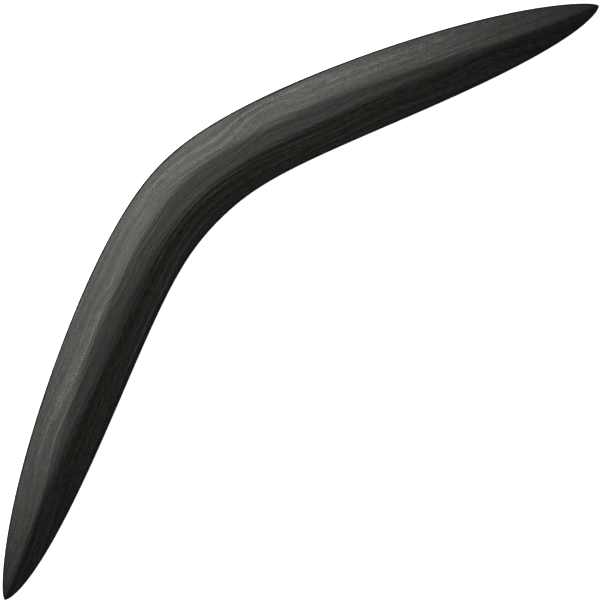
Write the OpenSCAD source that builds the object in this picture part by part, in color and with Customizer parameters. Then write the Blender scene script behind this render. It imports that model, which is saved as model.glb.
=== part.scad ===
// Heavy moulded boomerang: one solid blade, bent at the elbow, with a bevel along each edge and
// a flat land between the bevels on both faces.
// X runs along the span, Y points towards the outside of the elbow, and Z is up. The underside
// land lies at z = 0, and the origin is under the middle of the bounding box.

/* [Outline] */
// Distance from tip to tip
span = 700; // [500:10:850]
// Radius of the centreline at the elbow
elbow_radius = 184; // [130:2:300]
// Angle that each arm falls away from the span direction
arm_slope = 26.2; // [16:0.2:34]
// Width of the blade along the arms
arm_width = 65; // [60:0.5:80]
// Extra width of the blade at the elbow
elbow_swell = 2.8; // [0:0.1:6]
// Distance from the elbow over which the extra width fades
swell_reach = 43; // [20:1:100]
// How late the arms begin to taper: a larger power keeps them parallel for longer
taper_power = 3.7; // [2.5:0.1:6]
// How full the tips are: 0.5 is a round end and 1 is a straight-sided point
tip_power = 0.68; // [0.55:0.01:1]
// How far each tip is set outwards, off the line of its arm
tip_set = 2.2; // [0:0.1:5]

/* [Section] */
// Thickness between the two lands
thickness = 16; // [12:0.5:18]
// Radius of the rounded edge
edge_radius = 2.5; // [1.5:0.1:4]
// Width of each bevel, from the edge to the line where it would meet the land
bevel_width = 23.5; // [16:0.5:24]
// Radius that blends each bevel into the land
shoulder_radius = 25; // [10:1:30]
// Softness of the ridge where the two bevels meet near the tips
ridge_softness = 2; // [1:0.5:6]

/* [Smoothness] */
// Cross-sections between the elbow and each tip
stations = 40; // [24:1:60]
// Points round a quarter of the edge
nose_steps = 3; // [2:1:5]
// Points up each bevel
bevel_steps = 2; // [1:1:4]
// Points over each shoulder
shoulder_steps = 3; // [2:1:5]

/* [Hidden] */

black_polypropylene = "#2b2a29";

// The last stretch of the arm that tip_set bends, as a power of the distance along the span
tip_set_power = 22;
// Share of the blade that the sections fill before the two sides would meet on the ridge
ridge_share = 0.985;

// The lofted blade stands this much proud of each land, which is then cut flat
land_cut = 0.02;

half_span = span / 2;
half_thickness = thickness / 2;
crown = half_thickness + land_cut;

// The centreline is one branch of a hyperbola, which is round at the elbow and straight further out
arm_fall = tan(arm_slope);
elbow_depth = elbow_radius * pow(arm_fall, 2);

// The bevel is the tangent from the land's corner to the rounded edge
corner_reach = bevel_width - edge_radius;
bevel_angle = atan2(crown, corner_reach) - asin(edge_radius / norm([corner_reach, crown]));
nose_run = edge_radius * (1 - sin(bevel_angle));
nose_rise = edge_radius * cos(bevel_angle);
shoulder_start = bevel_width - shoulder_radius * tan(bevel_angle / 2);
land_start = bevel_width + shoulder_radius * tan(bevel_angle / 2);

// Distances in from the edge at which a section has its points: round the edge, up the bevel and
// over the shoulder to the land
insets = [
    for (i = [0 : nose_steps])
        edge_radius * (1 - cos((90 - bevel_angle) * i / nose_steps)),
    for (i = [1 : bevel_steps])
        nose_run + (shoulder_start - nose_run) * i / bevel_steps,
    for (i = [1 : shoulder_steps])
        land_start - shoulder_radius * sin(bevel_angle * (1 - i / shoulder_steps))
];
inset_count = len(insets);
ring_count = 4 * inset_count - 2;

// Half the thickness of the blade at a distance in from its edge, before the lands are cut
function rise(inset) =
    inset < nose_run ? sqrt(pow(edge_radius, 2) - pow(edge_radius - inset, 2)) :
    inset < shoulder_start ? nose_rise + (inset - nose_run) * tan(bevel_angle) :
    inset < land_start ?
        crown - shoulder_radius + sqrt(pow(shoulder_radius, 2) - pow(land_start - inset, 2)) :
    crown;

// Place along the span of a station: they crowd together towards the tips
function station_x(i) = half_span * sin(90 * i / stations);

function centre_y(x) =
    elbow_depth - norm([elbow_depth, arm_fall * x])
    + tip_set * pow(abs(x) / half_span, tip_set_power);

function centre_slope(x) =
    -pow(arm_fall, 2) * x / norm([elbow_depth, arm_fall * x])
    + sign(x) * tip_set * tip_set_power / half_span * pow(abs(x) / half_span, tip_set_power - 1);

function half_width(x) =
    (arm_width + elbow_swell * exp(-pow(x / swell_reach, 2))) / 2
    * pow(1 - pow(abs(x) / half_span, taper_power), tip_power);

// A section's points as [distance from the centreline, height above the mid-plane]. Distances in
// from the edge are taken to a softened centreline, which rounds the ridge, and they shrink with
// the blade where it is too narrow for the whole bevel
function quarter(x) =
    let (
        to_centre = norm([half_width(x), ridge_softness]),
        shrink = min(1, ridge_share * (to_centre - ridge_softness) / land_start)
    )
    [for (inset = insets * shrink)
        [sqrt(pow(to_centre - inset, 2) - pow(ridge_softness, 2)), rise(inset)]];

// A whole section: up the outer side, across the top, down the inner side and back underneath
function section(x) =
    let (q = quarter(x), last = inset_count - 1)
    [
        for (i = [0 : last]) [q[i][0], q[i][1]],
        for (i = [last : -1 : 0]) [-q[i][0], q[i][1]],
        for (i = [1 : last]) [-q[i][0], -q[i][1]],
        for (i = [last : -1 : 1]) [q[i][0], -q[i][1]]
    ];

// A section's points in place, square to the centreline
function ring(x) =
    let (slope = centre_slope(x), out = [-slope, 1] / norm([slope, 1]))
    [for (p = section(x))
        [x + p[0] * out[0], centre_y(x) + p[0] * out[1], half_thickness + p[1]]];

function tip(side) = [side * half_span, centre_y(half_span), half_thickness];

module lofted_blade() {
    rings = [for (i = [1 - stations : stations - 1]) ring(station_x(i))];
    ring_points = [for (r = rings) for (p = r) p];
    points = concat(ring_points, [tip(-1), tip(1)]);
    left_tip = len(ring_points);
    right_tip = left_tip + 1;
    last_ring = left_tip - ring_count;

    skin = [
        for (i = [0 : len(rings) - 2])
            for (j = [0 : ring_count - 1])
                let (
                    a = i * ring_count + j,
                    b = i * ring_count + (j + 1) % ring_count,
                    c = b + ring_count,
                    d = a + ring_count
                )
                for (face = [[a, c, b], [a, d, c]]) face
    ];
    left_cap = [for (j = [0 : ring_count - 1]) [left_tip, j, (j + 1) % ring_count]];
    right_cap = [for (j = [0 : ring_count - 1])
        [right_tip, last_ring + (j + 1) % ring_count, last_ring + j]];

    ys = [for (p = points) p[1]];
    middle_y = (min(ys) + max(ys)) / 2;
    translate([0, -middle_y, 0])
        polyhedron(points = points, faces = concat(skin, left_cap, right_cap), convexity = 4);
}

module moulding() {
    color(black_polypropylene)
        intersection() {
            lofted_blade();
            translate([-span, -span, 0]) cube([2 * span, 2 * span, thickness]);
        }
}

moulding();
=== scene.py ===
"""Builds the looks of a heavy moulded boomerang round its CAD frame: the blade with its moulded
wood-grain relief, and the small studio that it lies in."""

import math

import bmesh
import bpy
import numpy as np
from bpy.props import FloatProperty, FloatVectorProperty, IntProperty, PointerProperty
from bpy.types import Operator, Panel, PropertyGroup
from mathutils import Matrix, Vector, noise


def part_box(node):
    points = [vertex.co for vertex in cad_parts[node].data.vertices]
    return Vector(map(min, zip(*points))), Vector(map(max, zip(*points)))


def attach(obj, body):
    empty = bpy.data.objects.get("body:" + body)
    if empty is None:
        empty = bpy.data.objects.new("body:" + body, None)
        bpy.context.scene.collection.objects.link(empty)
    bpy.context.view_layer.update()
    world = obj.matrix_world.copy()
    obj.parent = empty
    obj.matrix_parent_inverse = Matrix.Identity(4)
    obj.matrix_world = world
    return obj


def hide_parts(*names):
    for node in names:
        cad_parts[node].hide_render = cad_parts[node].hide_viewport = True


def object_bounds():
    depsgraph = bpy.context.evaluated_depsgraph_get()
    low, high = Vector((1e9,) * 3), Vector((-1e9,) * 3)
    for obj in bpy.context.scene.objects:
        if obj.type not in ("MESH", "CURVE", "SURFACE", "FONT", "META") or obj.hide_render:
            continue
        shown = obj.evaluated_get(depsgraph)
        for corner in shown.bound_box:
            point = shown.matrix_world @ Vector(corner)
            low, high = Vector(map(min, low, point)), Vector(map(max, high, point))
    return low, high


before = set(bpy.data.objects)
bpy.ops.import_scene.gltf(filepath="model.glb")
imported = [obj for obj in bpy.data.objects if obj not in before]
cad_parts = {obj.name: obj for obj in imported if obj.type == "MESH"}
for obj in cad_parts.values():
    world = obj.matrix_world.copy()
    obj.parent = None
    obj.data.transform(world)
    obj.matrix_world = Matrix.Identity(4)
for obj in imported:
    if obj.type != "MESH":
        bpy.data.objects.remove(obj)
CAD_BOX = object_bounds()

bl_info = {
    "name": "Moulded Boomerang",
    "version": (1, 0, 0),
    "blender": (4, 5, 0),
    "location": "View3D > Sidebar > Boomerang",
    "description": "A one-piece moulded boomerang with a wood-grain relief, and a studio for it",
    "category": "Object",
}

NODE = "moulding"
BODY = "root"
GRAIN_MAP = "Grain"
RELIEF = "relief"
GRAIN_SHARE = "grain_share"
MM = 0.001

# Share of the stations' spacing that follows a sine, which crowds them towards the tips.
TIP_CROWDING = 0.75
# Points on which a quarter of a section is first worked out, and how much they crowd to the edge.
SECTION_SAMPLES = 400
EDGE_CROWDING = 2.5
# Keeps a normal of no length, at a tip, from being divided by zero.
SHORTEST_NORMAL = 1e-15
# Points closer than this are one point, in metres.
MERGE_DISTANCE = 1e-6


def linear(hex_colour):
    """An sRGB hex colour as linear red, green and blue."""
    channels = [int(hex_colour[i : i + 2], 16) / 255 for i in (1, 3, 5)]
    return [c / 12.92 if c <= 0.04045 else ((c + 0.055) / 1.055) ** 2.4 for c in channels]


# ---------------------------------------------------------------- settings


class BladeSettings(PropertyGroup):
    """The blade's outline and section. Its span and thickness come from the frame."""

    elbow_radius: FloatProperty(
        name="Elbow radius",
        description="Radius of the centreline at the elbow",
        default=184 * MM,
        unit="LENGTH",
    )
    arm_slope: FloatProperty(
        name="Arm slope",
        description="Angle that each arm falls away from the span direction",
        default=math.radians(26.2),
        unit="ROTATION",
    )
    arm_width: FloatProperty(
        name="Arm width",
        description="Width of the blade along the arms",
        default=65 * MM,
        unit="LENGTH",
    )
    elbow_swell: FloatProperty(
        name="Elbow swell",
        description="Extra width of the blade at the elbow",
        default=2.8 * MM,
        unit="LENGTH",
    )
    swell_reach: FloatProperty(
        name="Swell reach",
        description="Distance from the elbow over which the extra width fades",
        default=43 * MM,
        unit="LENGTH",
    )
    taper_power: FloatProperty(
        name="Taper power",
        description="How late the arms begin to taper",
        default=3.7,
    )
    tip_power: FloatProperty(
        name="Tip power",
        description="How full the tips are: 0.5 is a round end and 1 a straight-sided point",
        default=0.68,
    )
    tip_set: FloatProperty(
        name="Tip set",
        description="How far each tip is set outwards, off the line of its arm",
        default=2.2 * MM,
        unit="LENGTH",
    )
    tip_set_power: FloatProperty(
        name="Tip set power",
        description="How short the stretch is that the tip set bends",
        default=22,
    )
    edge_radius: FloatProperty(
        name="Edge radius",
        description="Radius of the rounded edge",
        default=2.5 * MM,
        unit="LENGTH",
    )
    bevel_width: FloatProperty(
        name="Bevel width",
        description="Width of each bevel, from the edge to where it would meet the land",
        default=23.5 * MM,
        unit="LENGTH",
    )
    shoulder_radius: FloatProperty(
        name="Shoulder radius",
        description="Radius that blends each bevel into the land",
        default=25 * MM,
        unit="LENGTH",
    )
    ridge_softness: FloatProperty(
        name="Ridge softness",
        description="How softly the two bevels meet near the tips",
        default=2 * MM,
        unit="LENGTH",
    )
    stations: IntProperty(
        name="Stations",
        description="Faces along the blade",
        default=340,
    )
    ring_faces: IntProperty(
        name="Ring faces",
        description="Faces round the blade, a multiple of four",
        default=288,
    )


class GrainSettings(PropertyGroup):
    """The wood grain that the mould carries."""

    relief_depth: FloatProperty(
        name="Relief depth",
        description="Depth of the deepest grain lines under the blade's surface",
        default=0.28 * MM,
        unit="LENGTH",
    )
    land_share: FloatProperty(
        name="Land share",
        description="Depth of the grain on the lands, as a share of its depth on the bevels",
        default=0.4,
    )
    streak_spacing: FloatProperty(
        name="Streak spacing",
        description="Distance from one grain line to the next, across the blade",
        default=2.6 * MM,
        unit="LENGTH",
    )
    streak_length: FloatProperty(
        name="Streak length",
        description="Length of a grain line, along the blade",
        default=110 * MM,
        unit="LENGTH",
    )
    knot_along: FloatProperty(
        name="Knot along",
        description="Place of the knot along the blade, from the elbow",
        default=207 * MM,
        unit="LENGTH",
    )
    knot_across: FloatProperty(
        name="Knot across",
        description="Place of the knot across the blade, from the centreline",
        default=-7 * MM,
        unit="LENGTH",
    )
    knot_radius: FloatProperty(
        name="Knot radius",
        description="Radius of the knot across the blade",
        default=4 * MM,
        unit="LENGTH",
    )


class FinishSettings(PropertyGroup):
    """The plastic's colour, darkened as painted shade in its pores and grooves, and its sheen."""

    # The colour in the pores and the grain's grooves: the black plastic darkened as painted shade.
    shaded_plastic_colour: FloatVectorProperty(
        name="Plastic",
        description="Colour of the black polypropylene",
        subtype="COLOR",
        default=linear("#050505"),
    )
    # The colour on the grain's crests and between the pores, where no painted shade falls.
    unshaded_grain_colour: FloatVectorProperty(
        name="High grain",
        description="Colour of the high parts of the grain and of the skin between the pores",
        subtype="COLOR",
        default=linear("#21201d"),
    )
    groove_roughness: FloatProperty(
        name="Groove roughness",
        description="Roughness at the bottom of the grain",
        default=0.52,
    )
    crest_roughness: FloatProperty(
        name="Crest roughness",
        description="Roughness on top of the grain",
        default=0.38,
    )


class StudioSettings(PropertyGroup):
    """The floor, the lights and the camera."""

    floor_colour: FloatVectorProperty(
        name="Floor",
        description="Colour of the studio floor",
        subtype="COLOR",
        default=linear("#f2f2f0"),
    )
    floor_light: FloatProperty(
        name="Floor light",
        description="Strength of the light from inside the floor",
        default=1.2,
    )
    wall_light: FloatProperty(
        name="Wall light",
        description="How bright the walls and the table look from the blade",
        default=0.16,
    )
    ceiling_light: FloatProperty(
        name="Ceiling light",
        description="How bright the ceiling looks from the blade",
        default=0.005,
    )
    softbox_colour: FloatVectorProperty(
        name="Softbox",
        description="Colour of the softbox's light",
        subtype="COLOR",
        default=linear("#fffcf7"),
    )
    softbox_power: FloatProperty(
        name="Softbox power",
        description="Power of the softbox",
        default=10.2,
        unit="POWER",
    )
    camera_height: FloatProperty(
        name="Camera height",
        description="Height of the camera above the blade",
        default=2.5,
        unit="LENGTH",
    )
    view_width: FloatProperty(
        name="View width",
        description="Width that the camera sees at the blade",
        default=0.4996,
        unit="LENGTH",
    )


# ---------------------------------------------------------------- the blade's shape


def centreline(blade, half_span, x):
    """Height and slope of the centreline in the plan: a hyperbola, with each tip set outwards."""
    fall = math.tan(blade.arm_slope)
    depth = blade.elbow_radius * fall**2
    root = np.hypot(depth, fall * x)
    share = np.abs(x) / half_span
    y = depth - root + blade.tip_set * share**blade.tip_set_power
    tip_slope = blade.tip_set * blade.tip_set_power / half_span
    slope = -(fall**2) * x / root + np.sign(x) * tip_slope * share ** (blade.tip_set_power - 1)
    return y, slope


def half_width(blade, half_span, x):
    """Half the blade's width, square to the centreline."""
    share = np.abs(x) / half_span
    straight = blade.arm_width + blade.elbow_swell * np.exp(-((x / blade.swell_reach) ** 2))
    return straight / 2 * (1 - share**blade.taper_power) ** blade.tip_power


def rise(blade, crown, inset):
    """Half the blade's thickness at a distance in from its edge."""
    edge, shoulder = blade.edge_radius, blade.shoulder_radius
    reach = blade.bevel_width - edge
    bevel = math.atan2(crown, reach) - math.asin(edge / math.hypot(reach, crown))
    nose = edge * (1 - math.sin(bevel))
    blend = shoulder * math.tan(bevel / 2)
    start, end = blade.bevel_width - blend, blade.bevel_width + blend
    round_edge = np.sqrt(np.maximum(edge**2 - (edge - inset) ** 2, 0))
    straight = edge * math.cos(bevel) + (inset - nose) * math.tan(bevel)
    over = crown - shoulder + np.sqrt(np.maximum(shoulder**2 - (end - inset) ** 2, 0))
    return np.select([inset < nose, inset < start, inset < end], [round_edge, straight, over], crown)


def quarter_section(blade, crown, width, steps):
    """A quarter of a section, from the edge to the middle, at even steps of its length. Gives the
    distances from the centreline, the heights above the mid-plane and the length of the quarter."""
    across = width * (1 - np.linspace(0, 1, SECTION_SAMPLES) ** EDGE_CROWDING)
    inset = math.hypot(width, blade.ridge_softness) - np.hypot(across, blade.ridge_softness)
    height = rise(blade, crown, np.maximum(inset, 0))
    run = np.concatenate([[0], np.cumsum(np.hypot(np.diff(across), np.diff(height)))])
    even = np.linspace(0, run[-1], steps + 1)
    return np.interp(even, run, across), np.interp(even, run, height), run[-1]


def blade_surface(blade, low, high):
    """The smooth blade as arrays over stations and ring points: places, outward normals, the
    distance along the blade, and the distance over the surface from its middle line."""
    half_span, crown = (high.x - low.x) / 2, (high.z - low.z) / 2
    steps = blade.ring_faces // 4
    turn = np.linspace(-1, 1, blade.stations + 1)
    # Stations crowd towards the tips, but not so much that the last rings nearly touch.
    crowded = np.sin(turn * math.pi / 2)
    x = half_span * (TIP_CROWDING * crowded + (1 - TIP_CROWDING) * turn)
    y, slope = centreline(blade, half_span, x)
    stretch = np.hypot(1, slope)
    out_x, out_y = -slope / stretch, 1 / stretch
    along = np.concatenate([[0], np.cumsum(np.hypot(np.diff(x), np.diff(y)))])
    along -= along[-1] / 2

    ring = np.arange(blade.ring_faces + 1)
    quadrant = np.minimum(ring // steps, 3)
    step = ring - steps * quadrant
    place = np.where(quadrant % 2 == 0, step, steps - step)
    outer = np.where((quadrant == 0) | (quadrant == 3), 1, -1)
    upper = np.where(quadrant < 2, 1, -1)

    points = np.zeros((len(x), len(ring), 3))
    over = np.zeros((len(x), len(ring)))
    for i, width in enumerate(half_width(blade, half_span, x)):
        across, height, length = quarter_section(blade, crown, width, steps)
        offset = outer * across[place]
        points[i, :, 0] = x[i] + offset * out_x[i]
        points[i, :, 1] = y[i] + offset * out_y[i]
        points[i, :, 2] = crown + upper * height[place]
        over[i] = outer * length * (1 - place / steps)
    points[:, :, 1] += (low.y + high.y - points[:, :, 1].min() - points[:, :, 1].max()) / 2
    points[:, :, 2] += low.z

    run_tangent = np.gradient(points, axis=0)
    ring_tangent = np.gradient(points, axis=1)
    # The ring closes on itself, so its two ends share one tangent.
    ring_tangent[:, 0] = ring_tangent[:, -1] = points[:, 1] - points[:, -2]
    normals = np.cross(ring_tangent, run_tangent)
    lengths = np.linalg.norm(normals, axis=2, keepdims=True)
    normals /= np.maximum(lengths, SHORTEST_NORMAL)
    outward = np.sign((normals[:, 1:, 2] * upper[1:]).sum())
    return points, normals * outward, along, over


# ---------------------------------------------------------------- the grain

# Places where the grain lines run aslant instead of along the blade: the distance along the blade
# from the elbow and across it from the centreline, the reach along and across, all in millimetres,
# and the slope.
SWEEPS = (
    (-275, 8, 60, 18, 0.25),
    (-110, 13, 22, 9, -0.33),
    (-28, 13, 18, 9, 0.38),
    (62, 15, 34, 12, 0.38),
    (165, -13, 60, 13, 0.16),
    (247, -9, 42, 13, 0.22),
)
# Slow waves of the grain lines: how far they swing, their length along and across the blade, all in
# millimetres, and the slice of noise that they come from.
WAVES = ((2.5, 130, 60, 3.1), (0.9, 40, 20, 7.7))
# Layers of grain lines: their weight, their length and spacing as shares of the settings, and the
# slice of noise that they come from. The last one groups the lines into broad bands.
LAYERS = ((0.6, 1, 1, 0.5), (0.15, 0.4, 0.45, 4.5), (0.6, 2, 3.1, 9.5))
# The underside shows another stretch of the same grain.
UNDERSIDE_SHIFT = 0.9
# Length of the knot along the blade, as a multiple of its width.
KNOT_STRETCH = 1.7
# How many times closer the rings inside the knot lie than the lines outside it.
KNOT_RINGS = 1.5
# How much the knot lowers the grain's crests at its middle, as a share of their height.
KNOT_SINK = 0.8
# Length over which the grain fades out towards a tip.
TIP_FADE = 8 * MM
# Steepness at which the grain has its full depth.
FULL_GRAIN_STEEPNESS = 0.25
# Points this close to the edge lie on the parting line.
PARTING_REACH = 0.01 * MM


def smooth_step(low, high, value):
    """0 below the low end, 1 above the high end, and a smooth rise between them."""
    share = min(max((value - low) / (high - low), 0), 1)
    return share * share * (3 - 2 * share)


def knot_distance(grain, along, across):
    """Distance from the middle of the knot, which is longer than it is wide."""
    return math.hypot((along - grain.knot_along) / KNOT_STRETCH, across - grain.knot_across)


def grain_flow(grain, along, across, upper):
    """The coordinate that stays the same along a grain line."""
    shift = 0 if upper else UNDERSIDE_SHIFT
    flow = across
    for place, middle, reach, spread, slope in SWEEPS:
        beside, off = along - place * MM, across - middle * MM
        near = (beside / (reach * MM)) ** 2 + (off / (spread * MM)) ** 2
        flow -= slope * beside * math.exp(-near)
    for swing, length, width, place in WAVES:
        point = Vector((along / (length * MM) + shift, across / (width * MM), place))
        flow += swing * MM * noise.noise(point)
    if not upper:
        return flow
    # The lines part round the knot, and run round inside it.
    distance, radius = knot_distance(grain, along, across), grain.knot_radius
    off = across - grain.knot_across
    if distance < radius:
        return flow + (distance - radius) * KNOT_RINGS - off
    return flow - off * (radius / distance) ** 2


def relief_at(grain, along, flow, shift):
    """How high the surface stands in the grain, from 0 in the deepest line to 1 on the crests."""
    height = 0.5
    for weight, length_share, spacing_share, place in LAYERS:
        length, spacing = length_share * grain.streak_length, spacing_share * grain.streak_spacing
        height += weight * noise.noise(Vector((along / length + shift, flow / spacing, place)))
    return min(max(height, 0), 1)


def grain_depth(grain, steepness, to_tip, to_edge):
    """How deep the grain is at a point, as a share. It is shallower on the lands, fades out at the
    tips and stops on the edge, where the halves of the mould meet."""
    if to_edge < PARTING_REACH:
        return 0
    slanted = smooth_step(0, FULL_GRAIN_STEEPNESS, steepness)
    share = grain.land_share + (1 - grain.land_share) * slanted
    return share * smooth_step(0, TIP_FADE, to_tip)


class BOOMERANG_OT_moulding(Operator):
    """Build the blade: one moulding of black polypropylene with its wood-grain relief"""

    bl_idname = "boomerang.moulding"
    bl_label = "Moulding"

    def execute(self, context):
        settings = context.scene.boomerang
        blade, grain = settings.blade, settings.grain
        low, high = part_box(NODE)
        points, normals, along, over = blade_surface(blade, low, high)
        half_length, half_rings = along[-1], np.abs(over).max(axis=1)

        bm = bmesh.new()
        relief = bm.verts.layers.float.new(RELIEF)
        grain_share = bm.verts.layers.float.new(GRAIN_SHARE)
        grain_map = bm.loops.layers.uv.new(GRAIN_MAP)
        bmesh.ops.create_grid(bm, x_segments=blade.stations, y_segments=blade.ring_faces, size=0.5)
        places = {
            v: (round((v.co.x + 0.5) * blade.stations), round((v.co.y + 0.5) * blade.ring_faces))
            for v in bm.verts
        }
        flows = {}
        middle = blade.ring_faces // 2
        for v, (i, j) in places.items():
            upper = j <= middle
            flows[v] = grain_flow(grain, along[i], over[i, j], upper)
            crest = relief_at(grain, along[i], flows[v], 0 if upper else UNDERSIDE_SHIFT)
            if upper:
                knot = knot_distance(grain, along[i], over[i, j]) / grain.knot_radius
                crest *= 1 - KNOT_SINK * math.exp(-(knot**2))
            steepness = math.hypot(*normals[i, j][:2])
            to_tip, to_edge = half_length - abs(along[i]), half_rings[i] - abs(over[i, j])
            depth = grain_depth(grain, steepness, to_tip, to_edge)
            sunk = grain.relief_depth * depth * (crest - 1)
            v.co = Vector(points[i, j]) + Vector(normals[i, j]) * sunk
            v[relief] = 0.5 + (crest - 0.5) * depth
            v[grain_share] = depth
        for face in bm.faces:
            ring = [places[v][1] for v in face.verts]
            upper = sum(ring) / len(ring) < middle
            for loop in face.loops:
                i, j = places[loop.vert]
                flow = flows[loop.vert]
                if (j <= middle) != upper:
                    flow = grain_flow(grain, along[i], over[i, j], upper)
                shift = 0 if upper else UNDERSIDE_SHIFT
                loop[grain_map].uv = (along[i] + shift, flow)
            face.smooth = True
        ends, seam = (0, blade.stations), (0, blade.ring_faces)
        rim = [v for v, (i, j) in places.items() if i in ends or j in seam]
        bmesh.ops.remove_doubles(bm, verts=rim, dist=MERGE_DISTANCE)
        bmesh.ops.recalc_face_normals(bm, faces=bm.faces)

        mesh = bpy.data.meshes.new("moulded_blade")
        bm.to_mesh(mesh)
        bm.free()
        piece = bpy.data.objects.new("moulded_blade", mesh)
        context.scene.collection.objects.link(piece)
        mesh.materials.append(black_polypropylene(settings.finish))
        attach(piece, BODY)
        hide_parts(NODE)
        return {"FINISHED"}


# ---------------------------------------------------------------- materials


def new_material(name):
    """An empty material with its output, and a function that adds a node to it. The function takes
    the node's type, settings, and inputs as values or as the sockets to link."""
    material = bpy.data.materials.new(name)
    material.use_nodes = True
    tree = material.node_tree
    tree.nodes.clear()

    def add(kind, settings=None, inputs=None):
        node = tree.nodes.new(kind)
        for key, value in (settings or {}).items():
            setattr(node, key, value)
        for key, value in (inputs or {}).items():
            if isinstance(value, bpy.types.NodeSocket):
                tree.links.new(value, node.inputs[key])
            else:
                node.inputs[key].default_value = value
        return node

    return material, add


# Patterns that follow the grain lines: their length and width in millimetres, the noise's detail,
# and the depth in millimetres of their bump. Pores a few tenths of a millimetre wide would not show
# at this size, so these are drawn coarser.
PATTERNS = {"pores": (6, 1.2, 2, 0.25), "fibres": (30, 2, 2, 0.35)}
PATTERN_ROUGHNESS = 0.6
BUMP_STRENGTH = 0.6
# Part of the painted shade in the colour that the pores decide; the relief decides the rest, as
# painted shade in the grain's grooves.
PORE_SHADE_SHARE = 0.85
POLYPROPYLENE_IOR = 1.49


def black_polypropylene(finish):
    """Polypropylene coloured black in the mass and moulded in a grained steel mould. To the eye it
    is a near-black with a satin, slightly waxy sheen that breaks up along the grain. Its colour is
    darkened as painted shade in the pores and in the grain's grooves."""
    material, add = new_material("black_polypropylene")
    place = add("ShaderNodeUVMap", {"uv_map": GRAIN_MAP}).outputs["UV"]
    crest = add("ShaderNodeAttribute", {"attribute_name": RELIEF}).outputs["Fac"]
    share = add("ShaderNodeAttribute", {"attribute_name": GRAIN_SHARE}).outputs["Fac"]

    patterns, bumped = {}, {}
    for name, (length, width, detail, depth) in PATTERNS.items():
        stretched = add(
            "ShaderNodeMapping",
            {"vector_type": "POINT"},
            {"Vector": place, "Scale": (1 / (length * MM), 1 / (width * MM), 1)},
        )
        pattern = add(
            "ShaderNodeTexNoise",
            {"noise_dimensions": "2D"},
            {
                "Vector": stretched.outputs["Vector"],
                "Scale": 1,
                "Detail": detail,
                "Roughness": PATTERN_ROUGHNESS,
            },
        )
        patterns[name] = pattern.outputs["Fac"]
        height = add("ShaderNodeMath", {"operation": "MULTIPLY"}, {0: patterns[name], 1: share})
        bump = add(
            "ShaderNodeBump",
            None,
            {
                "Height": height.outputs["Value"],
                "Distance": depth * MM,
                "Strength": BUMP_STRENGTH,
                **bumped,
            },
        )
        # The next pattern's bump starts from this one's.
        bumped = {"Normal": bump.outputs["Normal"]}

    # Painted shade: the pore pattern darkens the colour where the pits would shade themselves.
    pore_shade = add(
        "ShaderNodeMapRange",
        None,
        {"Value": patterns["pores"], "From Min": 0.3, "From Max": 0.7},
    )
    painted_shade_mix = add(
        "ShaderNodeMix",
        {"data_type": "FLOAT"},
        {0: PORE_SHADE_SHARE, 2: crest, 3: pore_shade.outputs["Result"]},
    )
    # The colour runs from the shaded plastic in the pores and grooves to the unshaded colour on the
    # crests: painted shade.
    tone = add(
        "ShaderNodeMix",
        {"data_type": "RGBA"},
        {
            0: painted_shade_mix.outputs["Result"],
            6: (*finish.shaded_plastic_colour, 1),
            7: (*finish.unshaded_grain_colour, 1),
        },
    )
    sheen = add(
        "ShaderNodeMapRange",
        None,
        {
            "Value": crest,
            "From Min": 0.2,
            "From Max": 0.9,
            "To Min": finish.groove_roughness,
            "To Max": finish.crest_roughness,
        },
    )
    plastic = add(
        "ShaderNodeBsdfPrincipled",
        None,
        {
            "Base Color": tone.outputs["Result"],
            "Roughness": sheen.outputs["Result"],
            "IOR": POLYPROPYLENE_IOR,
            **bumped,
        },
    )
    add("ShaderNodeOutputMaterial", None, {"Surface": plastic.outputs["BSDF"]})
    return material


def white_acrylic(studio):
    """Opal acrylic lit from below, as a product table is: even, white and without a hard shadow."""
    material, add = new_material("white_acrylic")
    surface = add(
        "ShaderNodeBsdfPrincipled",
        None,
        {
            "Base Color": (*studio.floor_colour, 1),
            "Roughness": 0.8,
            "Emission Color": (*studio.floor_colour, 1),
            "Emission Strength": studio.floor_light,
        },
    )
    add("ShaderNodeOutputMaterial", None, {"Surface": surface.outputs["BSDF"]})
    return material


# ---------------------------------------------------------------- the studio


# Sizes and places in metres.
SOFTBOX_SIZE = (1.1, 0.2)
SOFTBOX_PLACE = Vector((-0.02, 0.46, 0.7))
FLOOR_REACH = 20
SENSOR_WIDTH = 36 * MM
# The camera stands over a point this far in from the box's side on which the tips lie.
CAMERA_INSET = 4.8 * MM
CLIP_END = 100
# Heights above the horizon between which the walls darken into the ceiling.
WALL_TOP = math.radians(15)
CEILING_START = math.radians(40)


def softbox(studio, place, target):
    """A soft lamp with a flat rectangular front, which the camera doesn't see."""
    lamp = bpy.data.lights.new("softbox", "AREA")
    lamp.shape = "RECTANGLE"
    lamp.size, lamp.size_y = SOFTBOX_SIZE
    lamp.color = studio.softbox_colour
    lamp.energy = studio.softbox_power
    holder = bpy.data.objects.new("softbox", lamp)
    holder.location = place
    holder.rotation_euler = (target - place).to_track_quat("-Z", "Y").to_euler()
    holder.visible_camera = False
    bpy.context.scene.collection.objects.link(holder)


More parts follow.
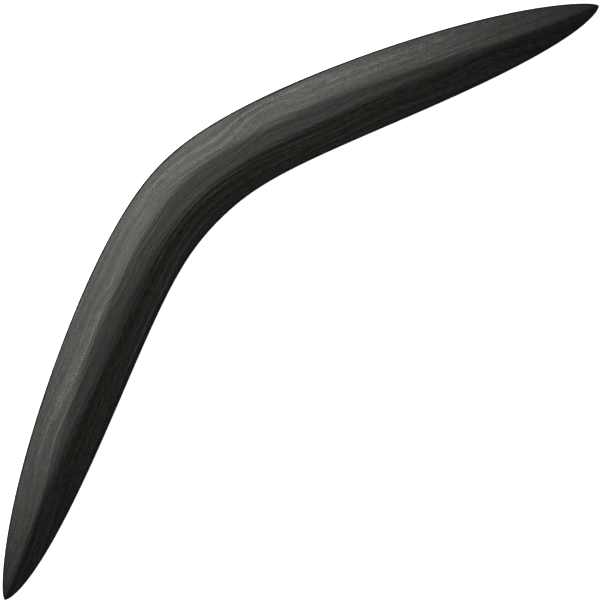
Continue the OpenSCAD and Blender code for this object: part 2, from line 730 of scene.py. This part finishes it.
def studio_room(studio):
    """The room round the table. The camera sees it as white as the floor. The blade sees dim walls
    and a dim table, and a dark ceiling that leaves its face to the softbox."""
    world = bpy.data.worlds.new("studio")
    world.use_nodes = True
    nodes, links = world.node_tree.nodes, world.node_tree.links
    background = nodes["Background"]
    background.inputs["Color"].default_value = (*studio.floor_colour, 1)

    height = nodes.new("ShaderNodeSeparateXYZ")
    links.new(nodes.new("ShaderNodeTexCoord").outputs["Generated"], height.inputs["Vector"])
    walls = nodes.new("ShaderNodeMapRange")
    links.new(height.outputs["Z"], walls.inputs["Value"])
    for name, value in (
        ("From Min", math.sin(WALL_TOP)),
        ("From Max", math.sin(CEILING_START)),
        ("To Min", studio.wall_light),
        ("To Max", studio.ceiling_light),
    ):
        walls.inputs[name].default_value = value

    strength = nodes.new("ShaderNodeMix")
    links.new(nodes.new("ShaderNodeLightPath").outputs["Is Camera Ray"], strength.inputs[0])
    links.new(walls.outputs["Result"], strength.inputs[2])
    strength.inputs[3].default_value = studio.floor_light
    links.new(strength.outputs[0], background.inputs["Strength"])
    return world


class BOOMERANG_OT_studio(Operator):
    """Set the stage: a pale floor, a long softbox and the camera above the blade"""

    bl_idname = "boomerang.studio"
    bl_label = "Studio"

    def execute(self, context):
        scene, studio = context.scene, context.scene.boomerang.studio
        low, high = CAD_BOX

        bm = bmesh.new()
        bmesh.ops.create_grid(bm, x_segments=1, y_segments=1, size=FLOOR_REACH)
        bmesh.ops.translate(bm, verts=bm.verts, vec=(0, 0, low.z))
        mesh = bpy.data.meshes.new("floor")
        bm.to_mesh(mesh)
        bm.free()
        floor = bpy.data.objects.new("floor", mesh)
        # The floor is seen, but neither lights the blade nor shows in its sheen.
        floor.visible_diffuse = floor.visible_glossy = False
        mesh.materials.append(white_acrylic(studio))
        scene.collection.objects.link(floor)

        middle = Vector((0, 0, high.z))
        softbox(studio, SOFTBOX_PLACE, middle)

        scene.world = studio_room(studio)
        scene.view_settings.view_transform = "Standard"

        # The camera looks straight down, turned so that the elbow points to the upper left corner.
        camera_data = bpy.data.cameras.new("camera")
        camera_data.sensor_fit = "HORIZONTAL"
        # Blender takes the sensor and the lens in millimetres.
        camera_data.sensor_width = SENSOR_WIDTH / MM
        camera_data.lens = SENSOR_WIDTH / MM * studio.camera_height / studio.view_width
        camera_data.clip_end = CLIP_END
        camera = bpy.data.objects.new("camera", camera_data)
        camera.location = (0, low.y + CAMERA_INSET, (low.z + high.z) / 2 + studio.camera_height)
        camera.rotation_euler = (0, 0, -math.pi / 4)
        scene.collection.objects.link(camera)
        scene.camera = camera
        return {"FINISHED"}


# ---------------------------------------------------------------- the add-on


class BoomerangSettings(PropertyGroup):
    """Everything that a user can change."""

    blade: PointerProperty(type=BladeSettings)
    grain: PointerProperty(type=GrainSettings)
    finish: PointerProperty(type=FinishSettings)
    studio: PointerProperty(type=StudioSettings)


class BOOMERANG_PT_sidebar(Panel):
    """The sidebar panel that lists the operators and their settings"""

    bl_idname = "BOOMERANG_PT_sidebar"
    bl_label = "Boomerang"
    bl_space_type = "VIEW_3D"
    bl_region_type = "UI"
    bl_category = "Boomerang"

    def draw(self, context):
        settings = context.scene.boomerang
        groups = (
            (BOOMERANG_OT_moulding, (settings.blade, settings.grain, settings.finish)),
            (BOOMERANG_OT_studio, (settings.studio,)),
        )
        for operator, owners in groups:
            column = self.layout.column()
            column.operator(operator.bl_idname)
            for owner in owners:
                for name in owner.__annotations__:
                    column.prop(owner, name)


CLASSES = (
    BladeSettings,
    GrainSettings,
    FinishSettings,
    StudioSettings,
    BoomerangSettings,
    BOOMERANG_OT_moulding,
    BOOMERANG_OT_studio,
    BOOMERANG_PT_sidebar,
)


def register():
    for cls in CLASSES:
        bpy.utils.register_class(cls)
    bpy.types.Scene.boomerang = PointerProperty(type=BoomerangSettings)


def unregister():
    del bpy.types.Scene.boomerang
    for cls in reversed(CLASSES):
        bpy.utils.unregister_class(cls)


def main():
    register()
    bpy.ops.boomerang.moulding()
    bpy.ops.boomerang.studio()


if __name__ == "__main__":
    main()
